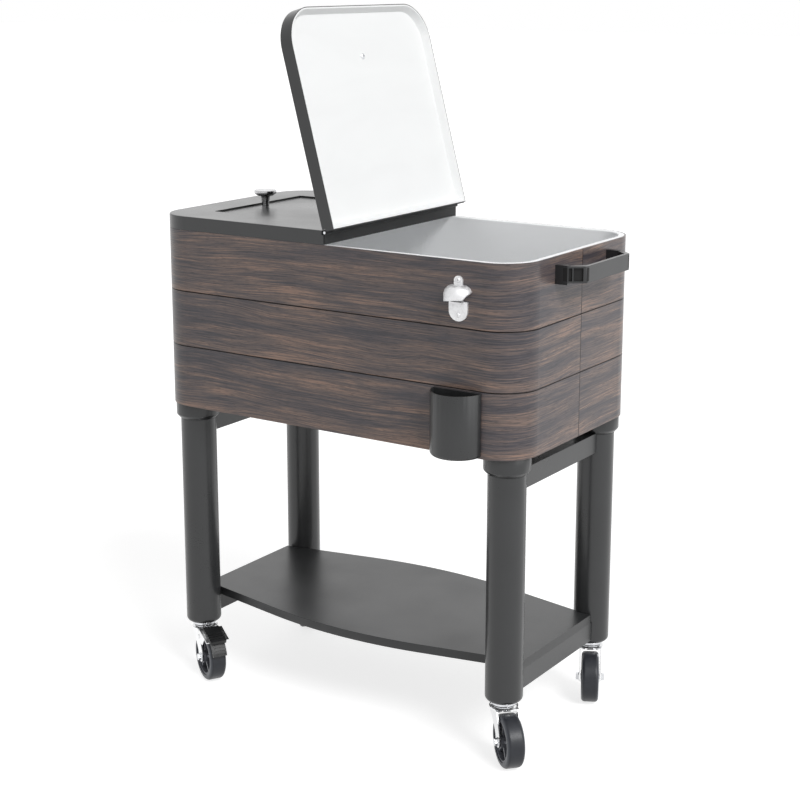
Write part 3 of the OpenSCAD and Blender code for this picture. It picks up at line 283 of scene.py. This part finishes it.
def moulded(name, color, rough, coat=0.0, dark=None, vary=0.05, gloss=0.5):
    """Moulded plastic: faint flow marks and a fine grain; an optional function gives where shade is painted
    nearly black.
    """
    n = Nodes(name)
    flow = n.noise(n.stretch((5, 5, 14)), detail=3.0, distortion=0.8)
    fine = n.noise(n.stretch((900, 900, 900)), detail=2.0)
    shade = n.mix(n.drift(flow), scaled(color, 1 - vary), scaled(color, 1 + vary))
    roughness = n.math("ADD", n.drift(flow, rough - 0.03, rough + 0.05), n.drift(fine, -0.02, 0.02))
    if dark:
        # Painted shade: nearly black, and rougher, where the given function says shade falls
        inside = dark(n)
        shade = n.mix(inside, shade, srgb(8, 8, 9))
        roughness = n.math("MULTIPLY_ADD", inside, 0.6, roughness)
    n.set(Base_Color=shade, Roughness=roughness, Specular_IOR_Level=gloss, Coat_Weight=coat,
          Coat_Roughness=0.12, Normal=n.bump(fine, 0.00025, 0.06))
    return n.owner


def plated(name, color, rough):
    """Plated or bright metal with faint polishing marks."""
    n = Nodes(name)
    marks = n.noise(n.stretch((260, 260, 260)), detail=3.0)
    haze = n.noise(n.stretch((40, 40, 40)), detail=2.0)
    shade = n.mix(n.span(haze, 0.35, 0.7), scaled(color, 0.93), color)
    n.set(Base_Color=shade, Metallic=1.0, Roughness=n.drift(marks, rough * 0.7, rough * 1.3),
          Normal=n.bump(marks, 0.0002, 0.04))
    return n.owner


def foam(name, low_color, high_color):
    """Cast foam: small cells, and a colour that drifts between two."""
    n = Nodes(name)
    cells = n.node("ShaderNodeTexVoronoi", {"Vector": n.stretch((420, 420, 420)), "Scale": 1.0})
    cloud = n.noise(n.stretch((30, 30, 30)), detail=3.0)
    n.set(Base_Color=n.mix(n.drift(cloud), low_color, high_color), Roughness=0.9,
          Normal=n.bump(cells.outputs["Distance"], 0.0008, 0.5))
    return n.owner


def rubber(name, color, side_color, rough, axle):
    """Grey rubber with faint dust, dark on the tread and paler on the sides, which face along the axle."""
    n = Nodes(name)
    dust = n.noise(n.stretch((60, 60, 60)), detail=4.0, roughness=0.65)
    fine = n.noise(n.stretch((1100, 1100, 1100)), detail=2.0)
    shade = n.mix(n.span(dust, 0.4, 0.75, 0.0, 0.6), color, scaled(color, 1.6))
    shade = n.mix(n.span(n.along(n.normal, axle), 0.55, 0.9), shade, side_color)
    n.set(Base_Color=shade, Roughness=n.drift(dust, rough, rough + 0.12), Specular_IOR_Level=0.35,
          Normal=n.bump(fine, 0.0003, 0.15))
    return n.owner


SLOT_MATERIALS = {
    "walnut_print": walnut_print(),
    "charcoal_paint": powder_coat("charcoal_paint", srgb(42, 43, 44), rough=0.32, coat=0.18),
    "black_steel": powder_coat("black_steel", srgb(22, 23, 24), rough=0.6),
    # The handles' pockets get painted shade
    "charcoal_plastic": moulded("charcoal_plastic", srgb(34, 35, 37), rough=0.3, coat=0.2, dark=painted_pocket_shade),
    "black_plastic": moulded("black_plastic", srgb(22, 23, 24), rough=0.4),
    "grey_liner": moulded("grey_liner", srgb(249, 250, 251), rough=0.3, vary=0.015),
    "white_plastic": moulded("white_plastic", srgb(238, 239, 239), rough=0.5, vary=0.015, gloss=0.3),
    "foam": foam("foam", srgb(222, 208, 150), srgb(240, 230, 182)),
    "chrome": plated("chrome", (0.88, 0.885, 0.89), rough=0.16),
    "satin_nickel": plated("satin_nickel", (0.55, 0.55, 0.56), rough=0.24),
    "zinc_steel": plated("zinc_steel", (0.72, 0.73, 0.75), rough=0.26),
}

# Pieces of the same slot that are finished in another way
STAINLESS = plated("satin_stainless", (0.77, 0.77, 0.78), rough=0.6)
NODE_MATERIALS = {
    "bottle_opener": STAINLESS,
    "wall_screws": STAINLESS,
    "shelf": powder_coat("shelf_paint", srgb(40, 41, 42), rough=0.34),
}
# A tyre's sides and the painted shade beside a hub's web are told from the rest by their own wheel's axle
TREAD_COLOR = srgb(42, 44, 49)
TYRE_SIDE_COLOR = srgb(84, 88, 95)
HUB_COLOR = srgb(112, 114, 121)
for joint in frame["record"]["behaviour"]["joints"]:
    if joint["name"].startswith("spin_"):
        wheel = joint["name"].replace("spin_", "")
        axle = joint["axis"]
        web = painted_web_shade(joint["pos_m"], axle)
        NODE_MATERIALS["tyre_" + wheel] = rubber("rubber_" + wheel, TREAD_COLOR, TYRE_SIDE_COLOR, 0.32, axle)
        NODE_MATERIALS["hub_" + wheel] = moulded("hub_plastic_" + wheel, HUB_COLOR, rough=0.4, dark=web)

for part in frame["record"]["subparts"]:
    node = NODES[part["node"]]
    node.data.materials.clear()
    material = NODE_MATERIALS.get(part["node"]) or SLOT_MATERIALS[part["material_slot"]]
    node.data.materials.append(material)

# Widths of the rounded edges
EDGES = {
    "bottle_opener": 0.0006,
    "handle_left": 0.0008, "handle_right": 0.0008,
    "left_lid_knob": 0.0005, "right_lid_knob": 0.0005,
    "cap_catcher": 0.0005,
    "shelf": 0.001,
    "leg_collars": 0.001,
    "upper_rail_left": 0.0015, "upper_rail_right": 0.0015,
    "lower_rail_left": 0.0015, "lower_rail_right": 0.0015,
}
# Only edges sharper than this are rounded, in degrees
SHARP_ANGLE = 35


def soften(node, width):
    """Rounds a part's sharp edges by a bevel; the mesh itself stays as it is."""
    weld = node.modifiers.new("weld", "WELD")
    weld.merge_threshold = 1e-6
    bevel = node.modifiers.new("soft_edges", "BEVEL")
    bevel.width = width
    bevel.segments = 2
    bevel.limit_method = "ANGLE"
    bevel.angle_limit = math.radians(SHARP_ANGLE)
    bevel.harden_normals = True


for name, width in EDGES.items():
    soften(NODES[name], width)

# How strongly the white surroundings light the cart, against the 1 that the camera sees
WORLD_LIGHT = 0.37
# What the camera and reflections see of the floor above its own colour
FLOOR_GLOW = 0.75
FLOOR_SIZE = 60


def floor_material():
    """A pale grey floor that looks white to the camera and in reflections, and keeps the cart's shadow."""
    n = Nodes("floor_white")
    cloud = n.noise(n.stretch((0.8, 0.8, 0.8)), detail=2.0)
    shade = n.mix(n.drift(cloud), (0.5, 0.5, 0.5), (0.52, 0.52, 0.52))
    n.set(Base_Color=shade, Roughness=0.9, Specular_IOR_Level=0.1)
    strength = n.math("MULTIPLY", n.white_rays(), FLOOR_GLOW)
    glow = n.node("ShaderNodeEmission", {"Color": (1, 1, 1, 1), "Strength": strength}).outputs["Emission"]
    both = n.node("ShaderNodeAddShader", {0: n.shader.outputs["BSDF"], 1: glow}).outputs["Shader"]
    n.feed(n.tree.nodes["Material Output"].inputs["Surface"], both)
    return n.owner


def build_stage():
    """The floor, and the white surroundings."""
    bpy.ops.mesh.primitive_plane_add(size=FLOOR_SIZE, location=(0, 0, 0))
    floor = bpy.context.object
    floor.name = "floor"
    floor.data.materials.append(floor_material())

    n = Nodes("studio", "worlds")
    background = n.tree.nodes["Background"]
    n.feed(background.inputs["Color"], (1, 1, 1, 1))
    n.feed(background.inputs["Strength"], n.span(n.white_rays(), 0.0, 1.0, WORLD_LIGHT, 1.0))
    bpy.context.scene.world = n.owner


def add_sun(name, direction, level, spread):
    """A wide soft lamp; at level 1 a surface that faces it renders as its colour is written."""
    data = bpy.data.lights.new(name, "SUN")
    data.energy = level * math.pi
    data.angle = math.radians(spread)
    lamp = bpy.data.objects.new(name, data)
    bpy.context.scene.collection.objects.link(lamp)
    lamp.rotation_euler = Vector(direction).to_track_quat("Z", "Y").to_euler()


# The camera, fitted to the photograph: its place, its dip below the level and its turn in degrees, its lens
# in millimetres, and its shift
CAMERA_PLACE = (1.5978, MID_Y - 2.3937, 1.2718)
CAMERA_DIP = 13.019
CAMERA_TURN = 33.524
CAMERA_LENS = 75.717
CAMERA_SHIFT = -0.05


def add_camera():
    """The camera at the photograph's viewing angle."""
    data = bpy.data.cameras.new("camera")
    data.sensor_width = 36
    data.lens = CAMERA_LENS
    data.shift_y = CAMERA_SHIFT
    data.clip_end = 100
    camera = bpy.data.objects.new("camera", data)
    bpy.context.scene.collection.objects.link(camera)
    camera.location = CAMERA_PLACE
    camera.rotation_euler = (math.radians(90 - CAMERA_DIP), 0, math.radians(CAMERA_TURN))
    bpy.context.scene.camera = camera


build_stage()
# Each lamp's direction from the cart, its level, and its spread in degrees
add_sun("key", (0.68, -0.3, 0.67), 0.63, 24)
add_sun("right", (0.95, -0.05, 0.3), 0.17, 50)
add_sun("back", (-0.5, 0.7, 0.4), 0.06, 60)
add_camera()
bpy.context.scene.view_settings.view_transform = "Standard"
